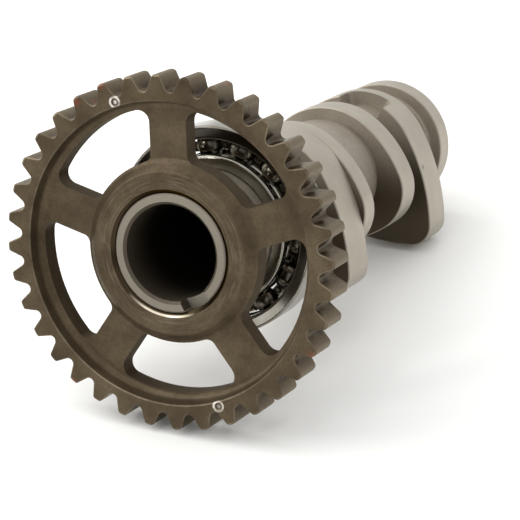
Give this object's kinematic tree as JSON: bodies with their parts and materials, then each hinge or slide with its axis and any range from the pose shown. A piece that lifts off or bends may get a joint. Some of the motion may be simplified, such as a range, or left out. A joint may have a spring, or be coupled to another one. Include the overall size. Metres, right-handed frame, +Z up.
{
  "type": "camshaft",
  "caption": "Engine camshaft with cam lobes, a toothed timing sprocket at one end and a ball bearing pressed on behind it.",
  "frame": {"origin": "on the floor, under the middle of the camshaft's own box as it lies at rest", "axes": "+Z up; the shaft runs along Y from the sprocket at the -Y end, sloping down by 10.6 degrees toward the end journal at +Y; +X is right as seen from the sprocket end"},
  "size_m": [0.077, 0.1362, 0.0772],
  "materials": {
    "shaft": "cast grey iron, ground on the lobes, journal and nose",
    "sprocket": "brown-grey phosphate over sintered steel",
    "rings": "ground bearing steel",
    "balls": "polished bearing steel",
    "cage": "pressed sheet steel"
  },
  "bodies": {
    "shaft": {"camshaft": "shaft", "timing_sprocket": "sprocket", "bearing_inner_ring": "rings"},
    "outer_ring": {"bearing_outer_ring": "rings"},
    "ball_train": {"ball_01": "balls", "ball_02": "balls", "ball_03": "balls", "ball_04": "balls", "ball_05": "balls", "ball_06": "balls", "ball_07": "balls", "ball_08": "balls", "ball_09": "balls", "ball_10": "balls", "ball_11": "balls", "ball_12": "balls", "ball_13": "balls", "ball_14": "balls", "cage_front_half": "cage", "cage_rear_half": "cage", "cage_rivets": "cage"}
  },
  "joints": [
    {"name": "outer_ring_spin", "type": "hinge", "parent": "shaft", "child": "outer_ring", "pos_m": [0, -0.03406, 0.03419], "axis": [0, 0.983, -0.1836], "continuous": true},
    {"name": "ball_train_spin", "type": "hinge", "parent": "shaft", "child": "ball_train", "pos_m": [0, -0.03406, 0.03419], "axis": [0, 0.983, -0.1836], "continuous": true}
  ],
  "couplings": [
    {"joint": "ball_train_spin", "follows": "outer_ring_spin", "ratio": 0.5741}
  ]
}
